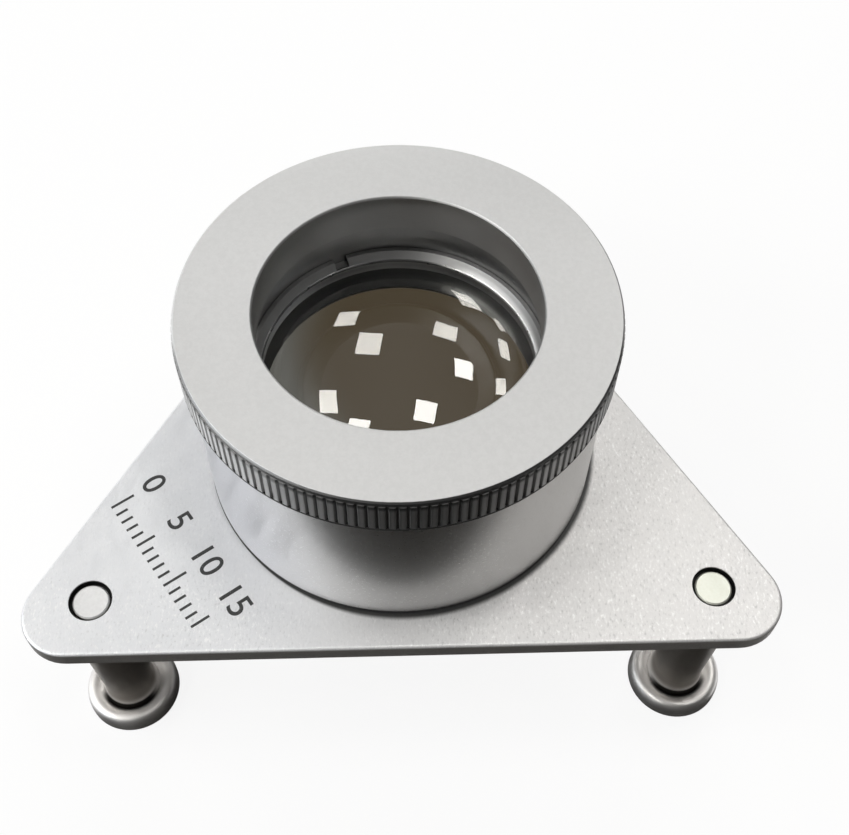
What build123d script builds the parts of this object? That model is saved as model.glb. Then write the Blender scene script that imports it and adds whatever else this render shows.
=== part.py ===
from build123d import *
import os
from math import copysign, cos, degrees, pi, radians, sin, sqrt, tan

# Tripod loupe: a cemented triplet in a turned barrel, standing on a three-legged plate.
# Millimetres. The origin is on the optical axis, in the plane that the feet stand on.
# +Z runs up the axis towards the eye, and the front edge of the plate faces -Y.

# Triplet: two flint menisci cemented to a thick biconvex crown, strongly curved above and flatter below
lens_r = 12.9
upper_surface_radius = 24.0
upper_cemented_radius = 18.0
lower_cemented_radius = 30.0
lower_surface_radius = 70.0
flint_thickness = 1.8
crown_edge_thickness = 0.9

# Clearances
seat_gap = 0.02
slip_gap = 0.05

# Lens cell: a lip below the glass, a wall beside it and a wider threaded mouth above it
cell_wall = 2.6
cell_lip_overlap = 2.4
cell_lip_thickness = 1.06
cell_mouth_step = 0.6
cell_mouth_drop = 0.4

# Retaining ring over the glass
ring_overlap = 0.45
ring_height = 1.85
ring_bevel = 0.65
ring_slot_width = 1.3
ring_slot_depth = 0.7
ring_slot_angle = 114.0

# Well from the top of the ring up to the cap
well_depth = 3.9

# Barrel
shoulder_thickness = 1.75
shoulder_width = 2.2
spigot_wall = 1.6
spigot_recess = 0.4
rim_wall = 1.25
rim_relief = 0.2
barrel_edge_break = 0.4

# Eye cap with its straight-knurled rim and threaded skirt
cap_thickness = 4.2
cap_bore_overhang = 0.1
cap_overhang = 0.5
cap_edge_break = 0.15
skirt_gap = 0.45
skirt_wall = 1.2
skirt_length = 3.0
knurl_proud = 0.1
knurl_pitch = 0.81
knurl_crest_width = 0.46
knurl_depth = 0.24
knurl_rise = 0.25
knurl_land = 0.55

# Plate
plate_thickness = 2.0
corner_r = 4.3
corner_beyond_leg = 2.1
plate_edge_round = 0.35

# Legs
leg_height = 20.0
leg_beyond_barrel = 14.4
column_top_r = 3.1
neck_r = 2.5
foot_flange = 2.2
foot_edge_break = 0.35
foot_land_height = 0.8
foot_height = 2.3
foot_crown_inset = 1.05
groove_inset = 1.8
groove_depth = 0.45
neck_rise = 1.9
stud_r = 1.7
stud_gap = 0.3
stud_recess = 0.25
stud_edge_break = 0.15
stud_mouth_depth = 0.9
rear_leg_angle = 90.0
leg_names = ("leg_rear", "leg_front_left", "leg_front_right")

# Screws that hold the barrel down on the plate
screw_r = 0.8
screw_head_r = 1.5
screw_cone_angle = 90.0
screw_length = 6.0
screw_sink = 0.1
screw_slot_width = 0.4
screw_slot_depth = 0.45
first_screw_angle = 30.0
screw_count = 3


def sag(surface_radius, r):
    """Depth of a spherical surface of the given radius at the distance r from the axis."""
    return surface_radius - sqrt(surface_radius**2 - r**2)


# Radii, from the glass outwards
cell_lip_r = lens_r - cell_lip_overlap
ring_inner_r = lens_r - ring_overlap
cap_bore_r = ring_inner_r - cap_bore_overhang
cell_bore_r = lens_r + slip_gap
cell_mouth_r = cell_bore_r + cell_mouth_step
cell_r = cell_bore_r + cell_wall
barrel_bore_r = cell_r + slip_gap
skirt_inner_r = cell_r + skirt_gap
skirt_r = skirt_inner_r + skirt_wall
barrel_mouth_r = skirt_r + slip_gap
barrel_r = barrel_mouth_r + rim_wall
shoulder_r = barrel_bore_r - shoulder_width
spigot_r = shoulder_r + spigot_wall
plate_hole_r = spigot_r + slip_gap
cap_r = barrel_r + cap_overhang
knurl_r = cap_r + knurl_proud
leg_circle_r = barrel_r + leg_beyond_barrel
plate_apothem = (leg_circle_r + corner_beyond_leg) / 2 + corner_r
foot_r = neck_r + foot_flange
screw_circle_r = (barrel_bore_r + barrel_r) / 2
screw_cone_slope = tan(radians(screw_cone_angle / 2))
screw_mouth_r = screw_head_r + screw_sink * screw_cone_slope + slip_gap

# Heights, from the feet upwards
plate_top = leg_height + plate_thickness
spigot_bottom = leg_height + spigot_recess
cell_bottom = plate_top + shoulder_thickness
cell_seat = cell_bottom + cell_lip_thickness
lens_bottom = cell_seat + seat_gap - sag(lower_surface_radius, cell_lip_r)
crown_sags = sag(lower_cemented_radius, lens_r) + sag(upper_cemented_radius, lens_r)
crown_thickness = crown_edge_thickness + crown_sags
crown_bottom = lens_bottom + flint_thickness
crown_top = crown_bottom + crown_thickness
lens_top = crown_top + flint_thickness
ring_bottom = lens_top - sag(upper_surface_radius, ring_inner_r) + seat_gap
ring_top = ring_bottom + ring_height
cell_mouth_bottom = ring_bottom - cell_mouth_drop
cell_top = ring_top + well_depth
barrel_top = cell_top
skirt_bottom = barrel_top - skirt_length
barrel_mouth_bottom = skirt_bottom - rim_relief
cap_top = barrel_top + cap_thickness
knurl_bottom = barrel_top + knurl_rise
knurl_top = cap_top - knurl_land
foot_groove = (foot_r - groove_inset, foot_height - groove_depth)


def spread(first_angle, count):
    """Angles in degrees of equal steps round the axis."""
    return [first_angle + 360 * step / count for step in range(count)]


def polar(r, angle):
    """Place on the circle of radius r at the angle in degrees from +X."""
    return r * cos(radians(angle)), r * sin(radians(angle))


def facing_down(place, height):
    """Plane at the place and height that looks down, for a hole made from below upwards."""
    return Plane((*place, height), z_dir=(0, 0, -1))


def save(part, name):
    """Label a finished piece and write it out."""
    part.label = name
    export_step(part, f"parts/{name}.step")


os.makedirs("parts", exist_ok=True)
leg_angles = spread(rear_leg_angle, len(leg_names))
screw_angles = spread(first_screw_angle, screw_count)

# Base plate: a rounded triangle with a centre hole, stepped leg holes and screw holes
with BuildPart() as base_plate:
    with BuildSketch(Plane.XY.offset(leg_height)) as plate_outline:
        RegularPolygon(plate_apothem, 3, major_radius=False, rotation=90)
        fillet(plate_outline.vertices(), corner_r)
        Circle(plate_hole_r, mode=Mode.SUBTRACT)
    extrude(amount=plate_thickness)
    plate_rims = base_plate.faces().filter_by(Axis.Z)
    fillet([face.outer_wire().edges() for face in plate_rims], plate_edge_round)
    with Locations([(*polar(leg_circle_r, a), plate_top) for a in leg_angles]):
        CounterBoreHole(stud_r + slip_gap, stud_r + stud_gap, stud_mouth_depth)
    with Locations([facing_down(polar(screw_circle_r, a), leg_height) for a in screw_angles]):
        CounterSinkHole(screw_r + slip_gap, screw_mouth_r, counter_sink_angle=screw_cone_angle)
save(base_plate.part, "base_plate")


def turned_leg(angle):
    """One leg: a fat rounded foot, a groove, a waisted column and a stud that goes up through the plate."""
    x, y = polar(leg_circle_r, angle)
    sole_r = foot_r - foot_edge_break
    stud_top = plate_top - stud_recess
    with BuildPart() as leg:
        with BuildSketch(Plane((x, y, 0), x_dir=(1, 0, 0), z_dir=(0, -1, 0))):
            with BuildLine():
                Polyline((0, 0), (sole_r, 0), (foot_r, foot_edge_break), (foot_r, foot_land_height))
                Spline(
                    (foot_r, foot_land_height),
                    (foot_r - foot_crown_inset, foot_height),
                    foot_groove,
                    tangents=((0, 1), (-1, -1)),
                )
                neck = Spline(foot_groove, (neck_r, foot_height + neck_rise), tangents=((-1, 2), (0, 1)))
                Polyline(
                    neck @ 1,
                    (column_top_r, leg_height),
                    (stud_r, leg_height),
                    (stud_r, stud_top - stud_edge_break),
                    (stud_r - stud_edge_break, stud_top),
                    (0, stud_top),
                    (0, 0),
                )
            make_face()
        revolve(axis=Axis((x, y, 0), (0, 0, 1)))
    return leg.part


for leg_name, leg_angle in zip(leg_names, leg_angles):
    save(turned_leg(leg_angle), leg_name)

# Barrel: a tube with a spigot in the plate, a shoulder for the cell and a mouth for the cap's skirt
with BuildPart() as barrel:
    with BuildSketch(Plane.XZ):
        with BuildLine():
            Polyline(
                (shoulder_r, spigot_bottom),
                (spigot_r, spigot_bottom),
                (spigot_r, plate_top),
                (barrel_r - barrel_edge_break, plate_top),
                (barrel_r, plate_top + barrel_edge_break),
                (barrel_r, barrel_top - rim_relief),
                (barrel_r - rim_relief, barrel_top),
                (barrel_mouth_r, barrel_top),
                (barrel_mouth_r, barrel_mouth_bottom),
                (barrel_bore_r, barrel_mouth_bottom),
                (barrel_bore_r, cell_bottom),
                (shoulder_r, cell_bottom),
                close=True,
            )
        make_face()
    revolve(axis=Axis.Z)
    with Locations([facing_down(polar(screw_circle_r, a), plate_top) for a in screw_angles]):
        Hole(screw_r + slip_gap, depth=screw_length - plate_thickness + screw_sink)
save(barrel.part, "barrel")

# Lens cell: its lip is bevelled to the curve of the glass
bevel_rise = sag(lower_surface_radius, cell_bore_r) - sag(lower_surface_radius, cell_lip_r)
with BuildPart() as lens_cell:
    with BuildSketch(Plane.XZ):
        with BuildLine():
            Polyline(
                (cell_lip_r, cell_bottom),
                (cell_r, cell_bottom),
                (cell_r, cell_top),
                (cell_mouth_r, cell_top),
                (cell_mouth_r, cell_mouth_bottom),
                (cell_bore_r, cell_mouth_bottom),
                (cell_bore_r, cell_seat + bevel_rise),
                (cell_lip_r, cell_seat),
                close=True,
            )
        make_face()
    revolve(axis=Axis.Z)
save(lens_cell.part, "lens_cell")


def lens_element(bottom, bottom_radius, top, top_radius):
    """A glass element between two spherical surfaces, given by their heights on the axis and their radii.

    A radius is positive where the surface rises from its middle to its edge, and negative where it falls.
    """
    bottom_edge = (lens_r, bottom + copysign(sag(abs(bottom_radius), lens_r), bottom_radius))
    top_edge = (lens_r, top + copysign(sag(abs(top_radius), lens_r), top_radius))
    with BuildPart() as element:
        with BuildSketch(Plane.XZ):
            with BuildLine():
                RadiusArc((0, bottom), bottom_edge, -bottom_radius)
                Polyline(bottom_edge, top_edge)
                RadiusArc((0, top), top_edge, -top_radius)
                Polyline((0, bottom), (0, top))
            make_face()
        revolve(axis=Axis.Z)
    return element.part


lower_lens = lens_element(lens_bottom, lower_surface_radius, crown_bottom, lower_cemented_radius)
middle_lens = lens_element(crown_bottom, lower_cemented_radius, crown_top, -upper_cemented_radius)
upper_lens = lens_element(crown_top, -upper_cemented_radius, lens_top, -upper_surface_radius)
save(lower_lens, "lower_lens")
save(middle_lens, "middle_lens")
save(upper_lens, "upper_lens")

# Retaining ring: bevelled inside, with two slots for a pin spanner
ring_r = cell_mouth_r - slip_gap
with BuildPart() as retaining_ring:
    with BuildSketch(Plane.XZ):
        with BuildLine():
            Polyline(
                (ring_inner_r, ring_bottom),
                (ring_r, ring_bottom),
                (ring_r, ring_top),
                (ring_inner_r + ring_bevel, ring_top),
                (ring_inner_r, ring_top - ring_bevel),
                close=True,
            )
        make_face()
    revolve(axis=Axis.Z)
    with BuildSketch(Plane.XY.offset(ring_top)):
        Rectangle(2 * cell_r, ring_slot_width, rotation=ring_slot_angle)
    extrude(amount=-ring_slot_depth, mode=Mode.SUBTRACT)
save(retaining_ring.part, "retaining_ring")

# Eye cap: the turned ring, then the band of flat ridges and narrow grooves round its rim
knurl_count = round(2 * pi * knurl_r / knurl_pitch)
knurl_step = 360 / knurl_count
knurl_crest_angle = degrees(knurl_crest_width / knurl_r)
knurl_root_r = knurl_r - knurl_depth
knurl_outline = []
for ridge in range(knurl_count):
    knurl_outline.append(polar(knurl_root_r, knurl_step * (ridge - 0.5)))
    knurl_outline.append(polar(knurl_r, knurl_step * ridge - knurl_crest_angle / 2))
    knurl_outline.append(polar(knurl_r, knurl_step * ridge + knurl_crest_angle / 2))
with BuildPart() as eye_cap:
    with BuildSketch(Plane.XZ):
        with BuildLine():
            Polyline(
                (cap_bore_r, barrel_top + cap_edge_break),
                (cap_bore_r + cap_edge_break, barrel_top),
                (skirt_inner_r, barrel_top),
                (skirt_inner_r, skirt_bottom),
                (skirt_r, skirt_bottom),
                (skirt_r, barrel_top),
                (knurl_root_r - rim_relief, barrel_top),
                (knurl_root_r, barrel_top + rim_relief),
                (knurl_root_r, knurl_top),
                (cap_r, knurl_top),
                (cap_r, cap_top - cap_edge_break),
                (cap_r - cap_edge_break, cap_top),
                (cap_bore_r + cap_edge_break, cap_top),
                (cap_bore_r, cap_top - cap_edge_break),
                close=True,
            )
        make_face()
    revolve(axis=Axis.Z)
    with BuildSketch(Plane.XY.offset(knurl_bottom)):
        with BuildLine():
            Polyline(knurl_outline, close=True)
        make_face()
        Circle(skirt_r, mode=Mode.SUBTRACT)
    extrude(amount=knurl_top - knurl_bottom)
save(eye_cap.part, "eye_cap")


def barrel_screw(angle):
    """A countersunk screw with a straight slot, its head just below the underside of the plate."""
    head_z = leg_height + screw_sink
    cone_top = head_z + (screw_head_r - screw_r) / screw_cone_slope
    axis_x, axis_y = polar(screw_circle_r, angle)
    with BuildPart() as screw:
        with BuildSketch(Plane((axis_x, axis_y, 0), x_dir=(1, 0, 0), z_dir=(0, -1, 0))):
            Polygon(
                (0, head_z),
                (screw_head_r, head_z),
                (screw_r, cone_top),
                (screw_r, head_z + screw_length - screw_sink),
                (0, head_z + screw_length - screw_sink),
                align=None,
            )
        revolve(axis=Axis((axis_x, axis_y, 0), (0, 0, 1)))
        with BuildSketch(Plane((axis_x, axis_y, head_z))):
            Rectangle(2 * screw_head_r, screw_slot_width, rotation=angle)
        extrude(amount=screw_slot_depth, mode=Mode.SUBTRACT)
    return screw.part


for number, screw_angle in enumerate(screw_angles, start=1):
    save(barrel_screw(screw_angle), f"barrel_screw_{number}")
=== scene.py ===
from math import cos, pi, radians, sin, sqrt

import bmesh
import bpy
from mathutils import Matrix, Vector


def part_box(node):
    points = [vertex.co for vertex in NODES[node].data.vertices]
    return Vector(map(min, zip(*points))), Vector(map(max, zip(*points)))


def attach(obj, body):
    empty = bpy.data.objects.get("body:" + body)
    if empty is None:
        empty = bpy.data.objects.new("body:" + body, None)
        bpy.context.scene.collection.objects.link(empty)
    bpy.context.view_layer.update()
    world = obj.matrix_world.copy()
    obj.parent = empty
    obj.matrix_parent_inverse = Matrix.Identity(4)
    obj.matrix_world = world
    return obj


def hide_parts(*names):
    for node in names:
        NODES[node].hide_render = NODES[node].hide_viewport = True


# Tripod loupe: a triplet in a turned barrel on a three-legged plate.
# Metres. The origin is on the optical axis, in the plane of the feet, and the camera stands on -Y.

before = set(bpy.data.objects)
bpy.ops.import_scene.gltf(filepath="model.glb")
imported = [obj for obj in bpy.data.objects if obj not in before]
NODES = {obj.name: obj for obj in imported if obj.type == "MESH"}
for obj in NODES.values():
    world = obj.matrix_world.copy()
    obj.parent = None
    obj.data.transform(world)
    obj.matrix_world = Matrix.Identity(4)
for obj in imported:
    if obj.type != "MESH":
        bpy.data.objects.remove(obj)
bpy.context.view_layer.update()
MM = 0.001


class Graph:
    """Builds the node tree of a material or of the world with short calls."""

    def __init__(self, owner):
        self.owner = owner
        owner.use_nodes = True
        self.tree = owner.node_tree
        self.tree.nodes.clear()

    def put(self, socket, value):
        """Links a socket, or sets a plain value on it."""
        if isinstance(value, bpy.types.NodeSocket):
            self.tree.links.new(value, socket)
        else:
            socket.default_value = value

    def node(self, kind, inputs=None, **settings):
        made = self.tree.nodes.new(f"ShaderNode{kind}")
        for key, value in settings.items():
            setattr(made, key, value)
        for key, value in (inputs or {}).items():
            self.put(made.inputs[key], value)
        return made

    def math(self, operation, a, b=0.0):
        return self.node("Math", {0: a, 1: b}, operation=operation).outputs[0]

    def times(self, *values):
        """The product of two or more values."""
        product = values[0]
        for value in values[1:]:
            product = self.math("MULTIPLY", product, value)
        return product

    def plus(self, a, b):
        return self.math("ADD", a, b)

    def minus(self, a, b):
        return self.math("SUBTRACT", a, b)

    def place(self):
        """The place of the shaded point in its object, in metres."""
        return self.node("TexCoord").outputs["Object"]

    def split(self, vector):
        """A vector's x, y and z."""
        parts = self.node("SeparateXYZ", {0: vector}).outputs
        return parts[0], parts[1], parts[2]

    def radius(self, x, y):
        return self.math("SQRT", self.plus(self.times(x, x), self.times(y, y)))

    def angle(self, x, y):
        """The angle round the Z axis, from -pi to pi."""
        return self.math("ARCTAN2", y, x)

    def noise(self, place, scale, detail=2.0, roughness=0.5):
        inputs = {"Vector": place, "Scale": scale, "Detail": detail, "Roughness": roughness}
        return self.node("TexNoise", inputs).outputs["Fac"]

    def remap(self, value, low, high, to_low, to_high):
        """Maps low..high smoothly to to_low..to_high and stops at both ends."""
        inputs = {"Value": value, "From Min": low, "From Max": high, "To Min": to_low, "To Max": to_high}
        return self.node("MapRange", inputs, interpolation_type="SMOOTHSTEP").outputs["Result"]

    def rise(self, value, low, high):
        """0 below low and 1 above high."""
        return self.remap(value, low, high, 0.0, 1.0)

    def drop(self, value, low, high):
        """1 below low and 0 above high."""
        return self.remap(value, low, high, 1.0, 0.0)

    def near(self, value, middle, reach):
        """1 where value is at middle, falling to 0 at reach from it."""
        return self.drop(self.math("ABSOLUTE", self.minus(value, middle)), 0.0, reach)

    def mix(self, share, a, b):
        """A colour between a and b."""
        made = self.node("Mix", data_type="RGBA")
        for key, value in (("Factor_Float", share), ("A_Color", a), ("B_Color", b)):
            socket = next(s for s in made.inputs if s.identifier == key)
            self.put(socket, value)
        return next(s for s in made.outputs if s.identifier == "Result_Color")

    def paint(self, tone, color, share, strength=1.0):
        """Lays a colour over the tone where share is 1."""
        cover = share if strength == 1.0 else self.times(share, strength)
        return self.mix(cover, tone, color)

    def bump(self, height, distance, strength):
        inputs = {"Height": height, "Distance": distance, "Strength": strength}
        return self.node("Bump", inputs).outputs["Normal"]

    def principled(self, color, roughness, metallic=1.0, normal=None, **constants):
        inputs = {"Base Color": color, "Roughness": roughness, "Metallic": metallic}
        if normal is not None:
            inputs["Normal"] = normal
        for key, value in constants.items():
            inputs[key.replace("_", " ")] = value
        self.surface(self.node("BsdfPrincipled", inputs).outputs[0])

    def surface(self, shader, output="OutputMaterial"):
        self.tree.links.new(shader, self.node(output).inputs["Surface"])


def material_graph(name):
    return Graph(bpy.data.materials.new(name))


def grey(level, warm=0.0):
    """A grey of the given brightness, a little warmer or cooler."""
    return (level * (1 + warm), level, level * (1 - warm), 1.0)


def turned_lines(g, along, around, scale):
    """Fine tool marks: noise that changes quickly along one measure and slowly round the axis."""
    stretched = g.node("CombineXYZ", {0: g.times(along, scale), 1: g.times(around, MARK_BREAKS)})
    return g.noise(stretched.outputs[0], scale=1.0, detail=3.0, roughness=0.65)


# How often a tool mark changes its strength in one radian
MARK_BREAKS = 40.0

# Sizes that the materials follow. Those that no box gives are the part's own.
LEGS = ("leg_front_left", "leg_front_right", "leg_rear")
LEG_PLACES = [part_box(leg)[0].lerp(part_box(leg)[1], 0.5) for leg in LEGS]
PLATE_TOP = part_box("base_plate")[1].z
CAP_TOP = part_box("eye_cap")[1].z
KNURL_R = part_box("eye_cap")[1].x
BARREL_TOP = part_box("barrel")[1].z
BARREL_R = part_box("barrel")[1].x
RING_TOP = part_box("retaining_ring")[1].z
CELL_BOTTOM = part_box("lens_cell")[0].z
KNURL_COUNT = 148
BORE_R = 12.35 * MM
STUD_HOLE_R = 2.0 * MM
FOOT_TOP = 2.3 * MM


def leg_radius(g, x, y):
    """The distance from the nearest leg's own axis."""
    nearest = 1.0
    for leg_place in LEG_PLACES:
        away = g.radius(g.minus(x, leg_place.x), g.minus(y, leg_place.y))
        nearest = g.math("MINIMUM", nearest, away)
    return nearest


def blasted_plate():
    """Fine-blasted, clear anodised aluminium: short bright and dark specks drawn out along Y."""
    g = material_graph("blasted_aluminium")
    place = g.place()
    x, y, z = g.split(place)
    drawn = g.node("CombineXYZ", {0: x, 1: g.times(y, 0.45), 2: z}).outputs[0]
    grain = g.noise(drawn, scale=4600.0, detail=3.0, roughness=0.7)
    coarse = g.noise(drawn, scale=900.0)
    cloud = g.noise(place, scale=45.0, detail=3.0)

    to_right = g.rise(x, -30.0 * MM, 24.0 * MM)
    at_back = g.rise(y, 5.0 * MM, 22.0 * MM)
    cast = g.mix(to_right, (0.80, 0.81, 0.83, 1.0), (0.80, 0.79, 0.785, 1.0))
    tone = g.paint(cast, grey(0.86), g.rise(coarse, 0.4, 0.7), strength=0.2)
    # Painted light: the plate is lighter towards the back
    tone = g.paint(tone, grey(0.92), at_back, strength=0.4)

    # The specks are dense on the right and along the front edge, and come in clouds
    right_or_front = g.math("MAXIMUM", g.remap(x, -20.0 * MM, 12.0 * MM, 0.35, 1.0),
                            g.drop(y, -16.0 * MM, -11.0 * MM))
    dense = g.times(right_or_front, g.remap(cloud, 0.30, 0.55, 0.15, 1.0))
    tone = g.paint(tone, grey(0.97), g.times(g.rise(grain, 0.57, 0.66), dense), strength=0.8)
    tone = g.paint(tone, grey(0.48), g.times(g.drop(grain, 0.30, 0.44), dense), strength=0.45)

    # Painted shade: the sides and the walls of the stud holes are darker than the top, and painted light
    # makes the sides lighter again at the right end
    side = g.drop(z, PLATE_TOP - 0.26 * MM, PLATE_TOP - 0.08 * MM)
    right_end = g.rise(x, 29.0 * MM, 34.0 * MM)
    in_hole = g.drop(leg_radius(g, x, y), STUD_HOLE_R + 0.15 * MM, STUD_HOLE_R + 0.30 * MM)
    tone = g.paint(tone, g.mix(right_end, grey(0.19, 0.08), grey(0.50, 0.04)), side, strength=0.85)
    tone = g.paint(tone, grey(0.03), g.times(side, in_hole))

    # Painted shadow: a dark ring on the plate round the barrel, widest at the front right
    r = g.radius(x, y)
    facing = g.math("DIVIDE", g.minus(g.times(x, 0.7), g.times(y, 0.7)), r)
    reach = g.remap(facing, -0.2, 0.75, 0.03 * MM, 0.42 * MM)
    barrel_shadow_ring = g.drop(g.math("DIVIDE", g.minus(r, BARREL_R), reach), 0.4, 1.7)
    on_top = g.rise(z, PLATE_TOP - 0.2 * MM, PLATE_TOP - 0.05 * MM)
    tone = g.paint(tone, grey(0.09), g.times(barrel_shadow_ring, on_top))

    rough = g.plus(g.remap(grain, 0.3, 0.7, 0.62, 0.50), g.remap(coarse, 0.3, 0.7, -0.03, 0.03))
    height = g.plus(grain, g.times(coarse, 0.5))
    g.principled(tone, rough, metallic=0.8, normal=g.bump(height, distance=0.025 * MM, strength=0.5))
    return g.owner


def satin_barrel():
    """Turned and clear anodised: fine rings, painted shade on the right, a bluish painted reflection on the
    left, and a dark painted shade line at the tube's foot.
    """
    g = material_graph("turned_aluminium")
    place = g.place()
    x, y, z = g.split(place)
    lines = turned_lines(g, along=z, around=g.angle(x, y), scale=9000.0)
    cloud = g.noise(place, scale=70.0, detail=3.0)
    tone = g.mix(lines, grey(0.58), grey(0.66))
    # Painted shade: darker towards the right
    tone = g.paint(tone, grey(0.455, 0.015), g.rise(x, -9.0 * MM, 3.0 * MM), strength=0.85)
    tone = g.paint(tone, grey(0.70), g.rise(cloud, 0.4, 0.7), strength=0.06)
    # Painted reflection: bluish on the left
    tone = g.paint(tone, (0.60, 0.61, 0.66, 1.0), g.drop(x, -16.0 * MM, -4.0 * MM), strength=0.7)

    # Painted shade: a dark line at the tube's foot, thin on the left, wider and softer towards the right
    foot_shade_top = g.remap(x, -18.0 * MM, 14.0 * MM, PLATE_TOP + 0.52 * MM, PLATE_TOP + 0.80 * MM)
    softness = g.remap(x, -4.0 * MM, 12.0 * MM, 0.12 * MM, 0.90 * MM)
    foot_shade = g.drop(g.math("DIVIDE", g.minus(z, foot_shade_top), softness), -0.5, 0.5)
    tone = g.paint(tone, g.mix(g.rise(x, -17.0 * MM, -4.0 * MM), grey(0.28), grey(0.09)), foot_shade)

    rough = g.plus(g.remap(lines, 0.3, 0.7, 0.27, 0.34), g.times(foot_shade, 0.3))
    g.principled(tone, rough, normal=g.bump(lines, distance=0.0015 * MM, strength=0.4))
    return g.owner


def matte_cap():
    """Matte faced ring: fine turned lines, a knurled band with dark grooves, and a wall in the bore, all with
    painted light and shade.
    """
    g = material_graph("cap_aluminium")
    place = g.place()
    x, y, z = g.split(place)
    r = g.radius(x, y)
    depth = g.minus(CAP_TOP, z)
    around = g.angle(x, y)
    lines = turned_lines(g, along=r, around=around, scale=7000.0)
    grain = g.noise(place, scale=2500.0, detail=3.0, roughness=0.7)
    cloud = g.noise(place, scale=60.0, detail=3.0)

    # Painted light and shade: the face is lighter on the left than on the right, and a little darker at the
    # back
    across = g.rise(x, -19.0 * MM, 19.0 * MM)
    low = g.mix(across, grey(0.73), grey(0.60))
    high = g.mix(across, grey(0.77), grey(0.64))
    tone = g.mix(g.rise(grain, 0.3, 0.7), low, high)
    tone = g.paint(tone, g.mix(across, grey(0.80), grey(0.68)), lines, strength=0.2)
    tone = g.mix(g.remap(y, 2.0 * MM, 16.0 * MM, 0.0, 0.08), tone, grey(0.02))
    tone = g.paint(tone, grey(0.70, 0.01), g.rise(cloud, 0.4, 0.7), strength=0.03)

    # Where the knurled band changes its tone
    in_front = g.drop(y, -6.0 * MM, -2.0 * MM)
    in_middle = g.near(x, 1.0 * MM, 13.0 * MM)
    off_left = g.rise(x, -16.0 * MM, -4.0 * MM)
    to_right = g.rise(x, -6.0 * MM, 6.0 * MM)
    outside = g.rise(r, KNURL_R - 0.5 * MM, KNURL_R - 0.35 * MM)

    # Painted shade: the plain land above the ridges is a dark line in front, lighter on the left
    land = g.times(outside, g.rise(depth, 0.0, 0.04 * MM), in_front)
    tone = g.paint(tone, g.mix(off_left, grey(0.26), grey(0.11)), land, strength=0.95)

    # Painted highlight and shade: each ridge is lighter on its crest than on its flanks, and shaded below the
    # land
    band = g.times(outside, g.rise(depth, 0.45 * MM, 0.6 * MM))
    turns = g.times(around, KNURL_COUNT / (2 * pi))
    off_crest = g.math("ABSOLUTE", g.minus(turns, g.math("ROUND", turns)))
    crest = g.mix(in_middle, g.mix(to_right, grey(0.76), grey(0.60)), grey(0.38))
    flank = g.mix(in_middle, g.mix(to_right, grey(0.66), grey(0.46)), grey(0.28))
    tone = g.paint(tone, g.mix(g.rise(off_crest, 0.06, 0.26), crest, flank), band, strength=0.92)
    below_land = g.times(in_front, g.drop(depth, 0.75 * MM, 1.25 * MM))
    shade = g.times(band, below_land, g.remap(off_left, 0.0, 1.0, 0.35, 0.8))
    tone = g.paint(tone, grey(0.05), shade)

    # Painted shade in the grooves, on the front only
    groove = g.times(g.drop(r, KNURL_R - 0.22 * MM, KNURL_R - 0.06 * MM),
                     g.rise(depth, 0.5 * MM, 0.75 * MM), outside, in_front)
    tone = g.paint(tone, g.mix(off_left, grey(0.45), g.mix(to_right, grey(0.22), grey(0.36))), groove)

    # The bore's wall and its broken edge, in painted light and shade: the wall darker in the middle and near
    # white on the right, the edge near white in front and dark behind
    bore = g.times(g.drop(r, BORE_R + 0.25 * MM, BORE_R + 0.65 * MM), g.rise(depth, 0.1 * MM, 0.3 * MM))
    wall = g.mix(g.rise(x, -10.0 * MM, -1.0 * MM), grey(0.60), grey(0.45, 0.02))
    wall = g.mix(g.rise(x, 1.0 * MM, 11.0 * MM), wall, grey(0.96, 0.03))
    tone = g.paint(tone, wall, bore)
    edge = g.times(g.drop(r, BORE_R + 0.13 * MM, BORE_R + 0.21 * MM), g.rise(depth, 0.02 * MM, 0.09 * MM))
    edge_tone = g.mix(g.drop(y, -9.0 * MM, -4.0 * MM), grey(0.25), grey(0.95))
    tone = g.paint(tone, edge_tone, edge, strength=0.8)

    rough = g.minus(g.remap(grain, 0.3, 0.7, 0.51, 0.53), g.times(bore, 0.05))
    g.principled(tone, rough, normal=g.bump(g.plus(grain, lines), distance=0.0015 * MM, strength=0.4))
    return g.owner


def dark_turned(name, low, high, rough_low, rough_high, shade_band):
    """Dark anodised metal with turned lines, a band of painted shade at one height, painted light on both
    sides and a painted highlight on the right.
    """
    g = material_graph(name)
    place = g.place()
    x, y, z = g.split(place)
    lines = turned_lines(g, along=g.plus(g.radius(x, y), z), around=g.angle(x, y), scale=8000.0)
    cloud = g.noise(place, scale=120.0, detail=3.0)
    tone = g.mix(lines, grey(low), grey(high))
    tone = g.paint(tone, grey(high * 1.3), g.rise(cloud, 0.45, 0.7), strength=0.3)
    # A band of painted shade at one height
    middle, reach, level = shade_band
    tone = g.paint(tone, grey(level), g.near(z, middle, reach))
    # Painted light: both sides are lighter than the middle
    sides = g.rise(g.math("ABSOLUTE", x), 5.0 * MM, 12.0 * MM)
    tone = g.paint(tone, grey(high * 1.5), sides, strength=0.5)

    # Painted highlight: on the right, the ring's bevel is near white and less metallic
    bevel_highlight = g.times(g.near(z, RING_TOP - 0.68 * MM, 0.48 * MM), g.rise(x, 5.0 * MM, 8.5 * MM))
    tone = g.paint(tone, grey(0.95, -0.01), bevel_highlight)
    metallic = g.remap(bevel_highlight, 0.1, 1.0, 1.0, 0.25)

    rough = g.remap(lines, 0.3, 0.7, rough_low, rough_high)
    g.principled(tone, rough, metallic=metallic, normal=g.bump(lines, distance=0.004 * MM, strength=0.5))
    return g.owner


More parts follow.
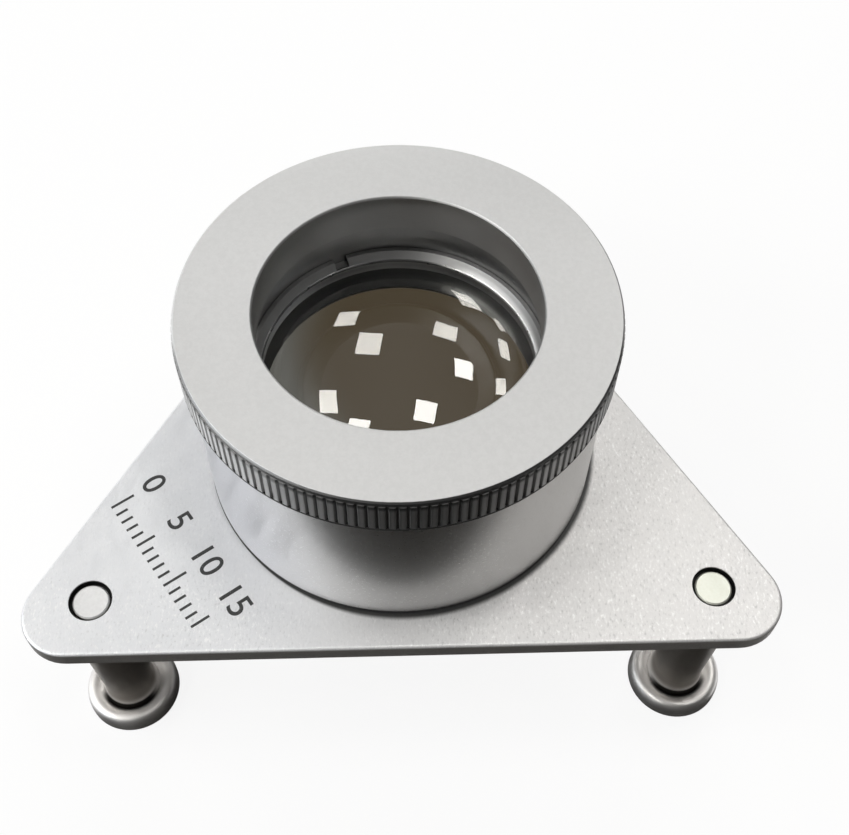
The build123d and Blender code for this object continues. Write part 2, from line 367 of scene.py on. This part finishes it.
def polished_leg():
    """Turned steel: a polished foot painted light, a column painted darker, painted shade in the foot's
    groove, and a pale stud end.
    """
    g = material_graph("leg_metal")
    place = g.place()
    x, y, z = g.split(place)
    lines = turned_lines(g, along=z, around=g.angle(x, y), scale=5000.0)
    smear = g.noise(place, scale=300.0, detail=4.0, roughness=0.6)
    grain = g.noise(place, scale=3600.0)
    # Painted light and shade: the foot is light, the column dark and warm
    foot = g.mix(lines, grey(0.82, 0.02), grey(0.90, 0.02))
    column = g.mix(lines, grey(0.29, 0.08), grey(0.35, 0.08))
    tone = g.paint(foot, column, g.rise(z, FOOT_TOP - 0.3 * MM, FOOT_TOP + 1.2 * MM))

    # Painted shade in the foot's groove, on the camera's side
    in_groove = g.near(leg_radius(g, x, y), 2.75 * MM, 0.75 * MM)
    above_sole = g.rise(z, FOOT_TOP - 1.0 * MM, FOOT_TOP - 0.7 * MM)
    below_column = g.drop(z, FOOT_TOP - 0.1 * MM, FOOT_TOP + 0.5 * MM)
    front_side = g.remap(g.minus(y, LEG_PLACES[0].y), -2.6 * MM, 0.2 * MM, 1.0, 0.1)
    dust = g.times(in_groove, below_column, above_sole, front_side)
    tone = g.paint(tone, grey(0.03, 0.1), g.rise(dust, 0.05, 0.9))

    # The right stud's end has a pale yellow-green cast
    stud_end = g.rise(z, PLATE_TOP - 0.5 * MM, PLATE_TOP - 0.3 * MM)
    plain = g.mix(grain, grey(0.76), grey(0.90))
    greenish = g.mix(grain, (0.82, 0.83, 0.74, 1.0), (0.90, 0.92, 0.85, 1.0))
    tone = g.paint(tone, g.mix(g.rise(x, 0.0, 10.0 * MM), plain, greenish), stud_end)

    rough = g.plus(g.remap(smear, 0.35, 0.7, 0.44, 0.54), g.times(stud_end, 0.10))
    g.principled(tone, rough, normal=g.bump(lines, distance=0.003 * MM, strength=0.4))
    return g.owner


def polished_glass():
    """Dense optical glass with a trace of dust and wiping marks."""
    g = material_graph("polished_glass")
    place = g.place()
    smear = g.noise(place, scale=160.0, detail=4.0, roughness=0.6)
    dust = g.rise(g.noise(place, scale=5200.0, detail=1.0), 0.74, 0.80)
    rough = g.plus(g.remap(smear, 0.45, 0.75, 0.0, 0.004), g.times(dust, 0.06))
    tone = g.mix(smear, (0.985, 0.975, 0.94, 1.0), (0.995, 0.99, 0.97, 1.0))
    g.principled(tone, rough, metallic=0.0, Transmission_Weight=1.0, IOR=1.70)
    return g.owner


def grainy(name, grain_of, tones, rough_range, metallic, relief, light_grains=None):
    """A plain grainy finish: one noise gives its tone, its roughness and its relief."""
    g = material_graph(name)
    grain = g.noise(g.place(), **grain_of)
    share = g.rise(grain, *light_grains) if light_grains else grain
    rough = g.remap(grain, 0.3, 0.7, *rough_range)
    depth, strength = relief
    g.principled(g.mix(share, *tones), rough, metallic=metallic, normal=g.bump(grain, depth, strength))
    return g.owner


def plated_screw():
    """Bright plated steel."""
    return grainy("screw_steel", {"scale": 1800.0, "detail": 3.0}, tones=(grey(0.38), grey(0.58)),
                  rough_range=(0.25, 0.42), metallic=1.0, relief=(0.01 * MM, 0.4))


def ground_edge():
    """Ground edge of the glass under black lacquer."""
    lacquer = (grey(0.012, 0.05), grey(0.03, 0.05))
    return grainy("ground_edge", {"scale": 2400.0, "detail": 2.0}, tones=lacquer,
                  rough_range=(0.5, 0.7), metallic=0.0, relief=(0.01 * MM, 0.5))


def shaded_rim():
    """Near-black matte metal, as painted shade."""
    return grainy("shaded_rim", {"scale": 1500.0, "detail": 3.0}, tones=(grey(0.02), grey(0.05)),
                  rough_range=(0.5, 0.7), metallic=0.5, relief=(0.01 * MM, 0.5))


def laser_mark():
    """Dark laser marking, through which a few bright grains of the metal show."""
    grain_of = {"scale": 3600.0, "detail": 3.0, "roughness": 0.7}
    return grainy("laser_mark", grain_of, tones=(grey(0.045), grey(0.20)), rough_range=(0.5, 0.7),
                  metallic=0.3, relief=(0.02 * MM, 0.5), light_grains=(0.60, 0.72))


def bright_edge():
    """Bare aluminium where the colour has worn off an edge, with painted shade that dulls it on the left and
    a painted highlight that brightens it on the right.
    """
    g = material_graph("bright_edge")
    place = g.place()
    x = g.split(place)[0]
    spots = g.noise(place, scale=1500.0, detail=3.0)
    dull = g.mix(spots, grey(0.11), grey(0.16))
    bright = g.mix(spots, grey(0.80), grey(0.95))
    # Painted shade on the left, painted highlight on the right
    tone = g.mix(g.rise(x, 3.0 * MM, 9.0 * MM), dull, bright)
    rough = g.remap(spots, 0.3, 0.7, 0.26, 0.40)
    g.principled(tone, rough, normal=g.bump(spots, distance=0.004 * MM, strength=0.4))
    return g.owner


def wear(node, material):
    """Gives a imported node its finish."""
    mesh = NODES[node].data
    mesh.materials.clear()
    mesh.materials.append(material)


# The bands of painted shade: the middle's height, the reach and the tone
CELL_SHADE_BAND = (CELL_BOTTOM, 3.0 * MM, 0.03)
RING_SHADE_BAND = (RING_TOP - 1.3 * MM, 0.5 * MM, 0.22)
wear("base_plate", blasted_plate())
wear("barrel", satin_barrel())
wear("eye_cap", matte_cap())
wear("lens_cell", dark_turned("cell_anodised", 0.20, 0.28, 0.30, 0.40, CELL_SHADE_BAND))
wear("retaining_ring", dark_turned("ring_anodised", 0.24, 0.31, 0.42, 0.52, RING_SHADE_BAND))
leg_finish = polished_leg()
for leg in LEGS:
    wear(leg, leg_finish)
screw_finish = plated_screw()
for number in (1, 2, 3):
    wear(f"barrel_screw_{number}", screw_finish)


def circle(radius, count):
    """Points evenly round the optical axis."""
    return [(radius * cos(2 * pi * s / count), radius * sin(2 * pi * s / count)) for s in range(count)]


def new_object(name, source, *materials):
    """Makes an object from a filled bmesh, with its materials in order."""
    mesh = bpy.data.meshes.new(name)
    source.to_mesh(mesh)
    source.free()
    for material in materials:
        mesh.materials.append(material)
    made = bpy.data.objects.new(name, mesh)
    bpy.context.scene.collection.objects.link(made)
    return made


# How many spokes each turned piece has
SPOKES = 192

# The cemented triplet shows as one piece of glass: two polished faces and a ground edge
LENS_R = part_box("upper_lens")[1].x
LENS_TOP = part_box("upper_lens")[1].z
LENS_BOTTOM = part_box("lower_lens")[0].z
UPPER_RADIUS = 24.0 * MM
LOWER_RADIUS = 70.0 * MM
FACE_RINGS = 48
POLISHED, GROUND = 0, 1


def fall(curve, r):
    """How far a sphere's face has dropped at a radius r."""
    return curve - sqrt(curve**2 - r**2)


def cemented_triplet():
    steps = [LENS_R * k / FACE_RINGS for k in range(1, FACE_RINGS + 1)]
    top = [(r, LENS_TOP - fall(UPPER_RADIUS, r)) for r in steps]
    bottom = [(r, LENS_BOTTOM + fall(LOWER_RADIUS, r)) for r in reversed(steps)]
    bm = bmesh.new()
    crown = bm.verts.new((0, 0, LENS_TOP))
    rings = [[bm.verts.new((x, y, z)) for x, y in circle(r, SPOKES)] for r, z in top + bottom]
    foot = bm.verts.new((0, 0, LENS_BOTTOM))
    for s in range(SPOKES):
        after = (s + 1) % SPOKES
        bm.faces.new((crown, rings[0][s], rings[0][after]))
        bm.faces.new((foot, rings[-1][after], rings[-1][s]))
        for k, (upper, lower) in enumerate(zip(rings, rings[1:])):
            face = bm.faces.new((upper[s], lower[s], lower[after], upper[after]))
            face.material_index = GROUND if k == FACE_RINGS - 1 else POLISHED
    for face in bm.faces:
        face.smooth = True
    for edge in bm.edges:
        if len({f.material_index for f in edge.link_faces}) > 1:
            edge.smooth = False
    return new_object("cemented_triplet", bm, polished_glass(), ground_edge())


triplet = cemented_triplet()
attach(triplet, "root")
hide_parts("upper_lens", "middle_lens", "lower_lens")


def swept_ring(name, outline, smooth, material):
    """Turns an outline of (r, z) points round the optical axis."""
    bm = bmesh.new()
    rows = []
    for s in range(SPOKES):
        turn = 2 * pi * s / SPOKES
        rows.append([bm.verts.new((r * cos(turn), r * sin(turn), z)) for r, z in outline])
    for s in range(SPOKES):
        here, there = rows[s], rows[(s + 1) % SPOKES]
        for k in range(len(outline)):
            after = (k + 1) % len(outline)
            bm.faces.new((here[k], there[k], there[after], here[after])).smooth = smooth
    return new_object(name, bm, material)


# The worn, rounded inner edge of the retaining ring's bevel
RING_EDGE_R = 12.45 * MM
RING_EDGE_Z = RING_TOP - 0.65 * MM
EDGE_ROUND = 0.20 * MM
EDGE_SINK = 0.12 * MM
EDGE_SIDES = 12
edge_outline = [
    (RING_EDGE_R + EDGE_SINK + u, RING_EDGE_Z - EDGE_SINK + v) for u, v in circle(EDGE_ROUND, EDGE_SIDES)
]
ring_edge = swept_ring("ring_edge", edge_outline, True, bright_edge())
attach(ring_edge, "root")

# Painted shade: a narrow dark rim piece that closes the knurled band below, standing in for the shadow gap
# there
RIM_LOW = BARREL_TOP
RIM_HIGH = RIM_LOW + 0.26 * MM
RIM_INNER = KNURL_R - 0.3 * MM
rim_outline = [(RIM_INNER, RIM_LOW), (KNURL_R, RIM_LOW), (KNURL_R, RIM_HIGH), (RIM_INNER, RIM_HIGH)]
shadow_rim_piece = swept_ring("lower_shadow_rim", rim_outline, False, shaded_rim())
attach(shadow_rim_piece, "root")

# A plain millimetre scale, marked on the left corner of the plate
SCALE_START = Vector((-27.6 * MM, -6.9 * MM))
SCALE_ANGLE = radians(-55.7)
SCALE_LENGTH_MM = 15
TICK_WIDTH = 0.26 * MM
TICK_LONG = 2.4 * MM
TICK_MIDDLE = 1.9 * MM
TICK_SHORT = 1.2 * MM
NUMERAL_SIZE = 3.3 * MM
NUMERAL_RISE = 3.5 * MM
NUMERAL_SWELL = 0.02 * MM
MARK_HEIGHT = 0.006 * MM
ALONG = Vector((cos(SCALE_ANGLE), sin(SCALE_ANGLE)))
UP = Vector((-ALONG.y, ALONG.x))


def add_bar(bm, middle, length):
    """One tick: a thin bar that starts on the base line."""
    half = TICK_WIDTH / 2
    corners = [(-half, 0), (half, 0), (half, length), (-half, length)]
    flat = [middle + ALONG * u + UP * v for u, v in corners]
    low = [bm.verts.new((p.x, p.y, PLATE_TOP - MARK_HEIGHT)) for p in flat]
    high = [bm.verts.new((p.x, p.y, PLATE_TOP + MARK_HEIGHT)) for p in flat]
    bm.faces.new(high)
    bm.faces.new(low[::-1])
    for k in range(4):
        after = (k + 1) % 4
        bm.faces.new((low[k], low[after], high[after], high[k]))


def add_numeral(bm, text, middle):
    """One number, centred above its tick."""
    curve = bpy.data.curves.new(f"numeral_{text}", "FONT")
    curve.body = text
    curve.size = NUMERAL_SIZE
    curve.align_x = "CENTER"
    curve.extrude = MARK_HEIGHT
    curve.offset = NUMERAL_SWELL
    holder = bpy.data.objects.new(curve.name, curve)
    bpy.context.scene.collection.objects.link(holder)
    bpy.context.view_layer.update()
    mesh = bpy.data.meshes.new_from_object(holder.evaluated_get(bpy.context.evaluated_depsgraph_get()))
    place = middle + UP * NUMERAL_RISE
    mesh.transform(Matrix.Translation((place.x, place.y, PLATE_TOP)) @ Matrix.Rotation(SCALE_ANGLE, 4, "Z"))
    bm.from_mesh(mesh)
    bpy.data.objects.remove(holder)
    bpy.data.curves.remove(curve)
    bpy.data.meshes.remove(mesh)


def marked_scale():
    bm = bmesh.new()
    for step in range(SCALE_LENGTH_MM + 1):
        middle = SCALE_START + ALONG * step * MM
        length = TICK_LONG if step % 10 == 0 else TICK_MIDDLE if step % 5 == 0 else TICK_SHORT
        add_bar(bm, middle, length)
        if step % 5 == 0:
            add_numeral(bm, str(step), middle)
    return new_object("marked_scale", bm, laser_mark())


scale = marked_scale()
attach(scale, "root")


def stage_sheet(name, corners, material, hidden_from=()):
    """One flat sheet of the stage, hidden from the named kinds of rays."""
    bm = bmesh.new()
    bm.faces.new([bm.verts.new(corner) for corner in corners])
    made = new_object(name, bm, material)
    for ray in hidden_from:
        setattr(made, f"visible_{ray}", False)
    return made


def at_height(height, corners):
    """The corners of a level sheet."""
    return [(x, y, height) for x, y in corners]


# A pale floor that fades into the white of the world
WHITE = (1.0, 1.0, 1.0, 1.0)
FLOOR_R = 0.6
FLOOR_SPOKES = 96
FADE_START, FADE_END = 0.25, 0.55
WHITE_SHARE = 0.88


def floor_material():
    """Pale paper that the camera and reflections see nearly white, so only the shadow shows on it."""
    g = material_graph("pale_floor")
    place = g.place()
    x, y, z = g.split(place)
    tone = g.mix(g.noise(place, scale=700.0), grey(0.925), grey(0.935))
    paper = g.node("BsdfDiffuse", {"Color": tone}).outputs[0]
    white = g.node("Emission", {"Color": WHITE, "Strength": 1.0}).outputs[0]
    clear = g.node("BsdfTransparent").outputs[0]
    path = g.node("LightPath").outputs
    mirrored = g.math("MAXIMUM", path["Is Glossy Ray"], path["Is Transmission Ray"])
    seen = g.math("MAXIMUM", path["Is Camera Ray"], mirrored)
    lit = g.node("MixShader", {0: g.times(seen, WHITE_SHARE), 1: paper, 2: white}).outputs[0]
    faded = g.rise(g.radius(x, y), FADE_START, FADE_END)
    g.surface(g.node("MixShader", {0: faded, 1: lit, 2: clear}).outputs[0])
    return g.owner


stage_sheet("floor", at_height(0.0, circle(FLOOR_R, FLOOR_SPOKES)), floor_material())

# Dark cards on the floor and a dark screen between the front legs, which only reflections see
REFLECTED_ONLY = ("camera", "diffuse", "transmission", "shadow")
CARD_HEIGHT = 0.1 * MM
UNDER_CARD_HEIGHT = 0.15 * MM
FRONT_CARD = [
    (-0.30, -0.30), (0.30, -0.30), (0.30, -0.06), (0.038, -0.0212), (-0.036, -0.0212), (-0.30, -0.06),
]
UNDER_CARD = [
    (-0.0345, -0.0235), (0.0345, -0.0235), (0.0345, -0.0140), (0.0237, -0.0125),
    (0.0237, 0.0280), (-0.0237, 0.0280), (-0.0237, -0.0125), (-0.0345, -0.0140),
]
SIDE_CARD = [(0.055, -0.20), (0.30, -0.20), (0.30, 0.20), (0.055, 0.20)]
SCREEN_NEAR, SCREEN_FAR = -0.025, -0.12
SCREEN_LOW, SCREEN_HIGH = 0.002, 0.030
SCREEN = [
    (0, SCREEN_NEAR, SCREEN_LOW), (0, SCREEN_FAR, SCREEN_LOW),
    (0, SCREEN_FAR, SCREEN_HIGH), (0, SCREEN_NEAR, SCREEN_HIGH),
]


def card_material():
    """Dark card of a slightly uneven grey."""
    g = material_graph("dark_card")
    tone = g.mix(g.noise(g.place(), scale=300.0), grey(0.03, 0.05), grey(0.04, 0.05))
    g.surface(g.node("BsdfDiffuse", {"Color": tone}).outputs[0])
    return g.owner


card_finish = card_material()
stage_sheet("front_card", at_height(CARD_HEIGHT, FRONT_CARD), card_finish, REFLECTED_ONLY)
stage_sheet("under_card", at_height(UNDER_CARD_HEIGHT, UNDER_CARD), card_finish, REFLECTED_ONLY)
stage_sheet("side_card", at_height(CARD_HEIGHT, SIDE_CARD), card_finish, REFLECTED_ONLY)
stage_sheet("dark_screen", SCREEN, card_finish, REFLECTED_ONLY)

# A brown cloth that only the view through the glass shows; it glows with its own colour, as painted light
THROUGH_GLASS_ONLY = ("camera", "diffuse", "glossy", "shadow")
CLOTH_R = 0.05
CLOTH_SPOKES = 48
CLOTH_HEIGHT = 0.6 * MM


def cloth_material():
    """Brown cloth that turns grey towards the right, and glows with its colour as painted light."""
    g = material_graph("glowing_brown_cloth")
    place = g.place()
    x = g.split(place)[0]
    brown = g.mix(g.noise(place, scale=60.0), (0.062, 0.046, 0.026, 1.0), (0.073, 0.057, 0.035, 1.0))
    tone = g.mix(g.rise(x, 0.8 * MM, 3.6 * MM), brown, (0.120, 0.120, 0.110, 1.0))
    g.surface(g.node("Emission", {"Color": tone, "Strength": 1.0}).outputs[0])
    return g.owner


cloth_corners = at_height(CLOTH_HEIGHT, circle(CLOTH_R, CLOTH_SPOKES))
stage_sheet("glowing_brown_cloth", cloth_corners, cloth_material(), THROUGH_GLASS_ONLY)

# Lamps: azimuth from +Y towards +X, elevation, width, height and turn, all seen from the glass
LENS_MIDDLE = Vector((0, 0, 34.0 * MM))
LAMP_AWAY = 1.0
CEILING_RADIANCE = 13.5
CEILING_COLOR = (1.0, 0.985, 0.95)
CEILING_LAMPS = [
    (116.4, 65.6, 0.171, 0.154, 74),
    (-94.5, 71.2, 0.170, 0.140, 110),
    (43.5, 49.5, 0.132, 0.168, -42),
    (-130.8, 43.0, 0.204, 0.270, -52),
    (-87.7, 40.7, 0.127, 0.181, -86),
    (-62.0, 40.8, 0.109, 0.126, -118),
    (66.5, 77.6, 0.165, 0.180, -57),
    (-107.0, 34.5, 0.110, 0.140, -86),
]
WINDOW = (-105, 14, 0.7, 0.4, 0)
WINDOW_RADIANCE = 3.7
WINDOW_COLOR = (0.88, 0.94, 1.0)
BACK_PANEL = (5, 26, 0.9, 0.3, 0)
BACK_RADIANCE = 3.0
BACK_COLOR = (1.0, 1.0, 0.98)


def towards(azimuth, elevation):
    """The direction from the glass."""
    flat = cos(radians(elevation))
    return Vector((flat * sin(radians(azimuth)), flat * cos(radians(azimuth)), sin(radians(elevation))))


def flip_to_face(axes):
    """A lamp shines along its own -Z, so +Z points away from the glass."""
    right, up, back = axes.transposed()
    return Matrix((right, -up, -back)).transposed().to_4x4()


def area_light(name, placed, radiance, color):
    """A rectangular lamp that faces the glass, with the same radiance over its whole face."""
    azimuth, elevation, width, height, turn = placed
    data = bpy.data.lights.new(name, "AREA")
    data.shape = "RECTANGLE"
    data.size = width
    data.size_y = height
    data.energy = radiance * pi * width * height
    data.color = color
    made = bpy.data.objects.new(name, data)
    direction = towards(azimuth, elevation)
    right = direction.cross(Vector((0, 0, 1))).normalized()
    up = right.cross(direction)
    axes = Matrix((right, up, -direction)).transposed()
    spin = Matrix.Rotation(radians(turn), 3, "Z")
    made.matrix_world = Matrix.Translation(LENS_MIDDLE + direction * LAMP_AWAY) @ flip_to_face(axes @ spin)
    made.visible_camera = False
    bpy.context.scene.collection.objects.link(made)


for number, placed in enumerate(CEILING_LAMPS, start=1):
    area_light(f"lamp_{number}", placed, CEILING_RADIANCE, CEILING_COLOR)
area_light("window", WINDOW, WINDOW_RADIANCE, WINDOW_COLOR)
area_light("back_panel", BACK_PANEL, BACK_RADIANCE, BACK_COLOR)


def studio_world():
    """White for the camera. Round the loupe it is white behind and to the left, dim in front and overhead."""
    g = Graph(bpy.data.worlds.new("studio"))
    x, y, z = g.split(g.node("TexCoord").outputs["Generated"])
    overhead = g.remap(z, 0.05, 0.40, 1.0, 0.25)
    front = g.remap(y, -0.7, 0.2, 0.12, 1.0)
    right_side = g.remap(x, 0.0, 0.8, 1.0, 0.4)
    seen = g.node("LightPath").outputs["Is Camera Ray"]
    strength = g.math("MAXIMUM", seen, g.times(overhead, front, right_side))
    background = g.node("Background", {"Color": WHITE, "Strength": strength})
    g.surface(background.outputs[0], output="OutputWorld")
    return g.owner


bpy.context.scene.world = studio_world()

# The camera, fitted to the photograph
CAMERA_PLACE = Vector((-0.477, -64.184, 124.65)) * MM
YAW, PITCH, ROLL = 0.036157, 0.994057, 0.010687
camera_data = bpy.data.cameras.new("camera")
camera_data.sensor_width = 36.0
camera_data.sensor_fit = "HORIZONTAL"
camera_data.lens = 52.03
camera_data.shift_x = 0.0063
camera_data.shift_y = 0.0014
camera_data.clip_start = 0.005
camera_data.clip_end = 20.0
camera = bpy.data.objects.new("camera", camera_data)
bpy.context.scene.collection.objects.link(camera)
camera.matrix_world = (
    Matrix.Translation(CAMERA_PLACE)
    @ Matrix.Rotation(-YAW, 4, "Z")
    @ Matrix.Rotation(pi / 2 - PITCH, 4, "X")
    @ Matrix.Rotation(ROLL, 4, "Z")
)
bpy.context.scene.camera = camera
bpy.context.scene.view_settings.view_transform = "Standard"
